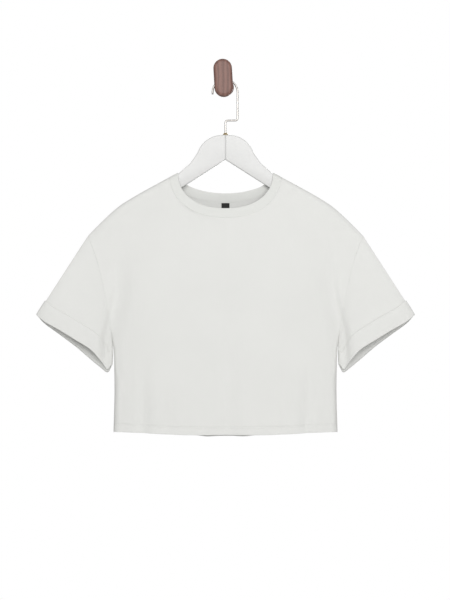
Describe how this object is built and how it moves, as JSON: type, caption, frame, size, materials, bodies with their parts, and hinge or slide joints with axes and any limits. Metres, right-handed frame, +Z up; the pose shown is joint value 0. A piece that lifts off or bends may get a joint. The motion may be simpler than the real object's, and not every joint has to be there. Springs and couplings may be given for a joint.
{
  "type": "t-shirt on a hanger and wall hook",
  "caption": "Boxy cropped t-shirt with dropped shoulders and turned-up cuffs, on a wooden hanger that hangs from a capsule-shaped wall hook.",
  "frame": {"origin": "on the wall, on the axis of the wall hook's stem, at the middle of its flange's back face", "axes": "+X to the right as seen from the front, +Y into the wall, +Z up; the garment's front faces -Y"},
  "size_m": [0.7536, 0.079, 0.752],
  "materials": {
    "jersey": "matt cotton jersey, off-white",
    "rib": "matt cotton rib knit, off-white",
    "label": "plain black woven tape",
    "hanger_wood": "white satin lacquer",
    "hook_metal": "polished, warm nickel",
    "ferrule_metal": "polished",
    "walnut": "oiled, satin"
  },
  "bodies": {
    "root": {"front_panel": "jersey", "back_panel": "jersey", "sleeve_right": "jersey", "sleeve_left": "jersey", "cuff_right": "jersey", "cuff_left": "jersey", "neckband": "rib", "neck_label": "label", "hanger_arm_right": "hanger_wood", "hanger_arm_left": "hanger_wood", "hanger_hook": "hook_metal", "hook_ferrule": "ferrule_metal", "wall_hook_knob": "walnut", "wall_hook_stem": "walnut"}
  },
  "joints": []
}
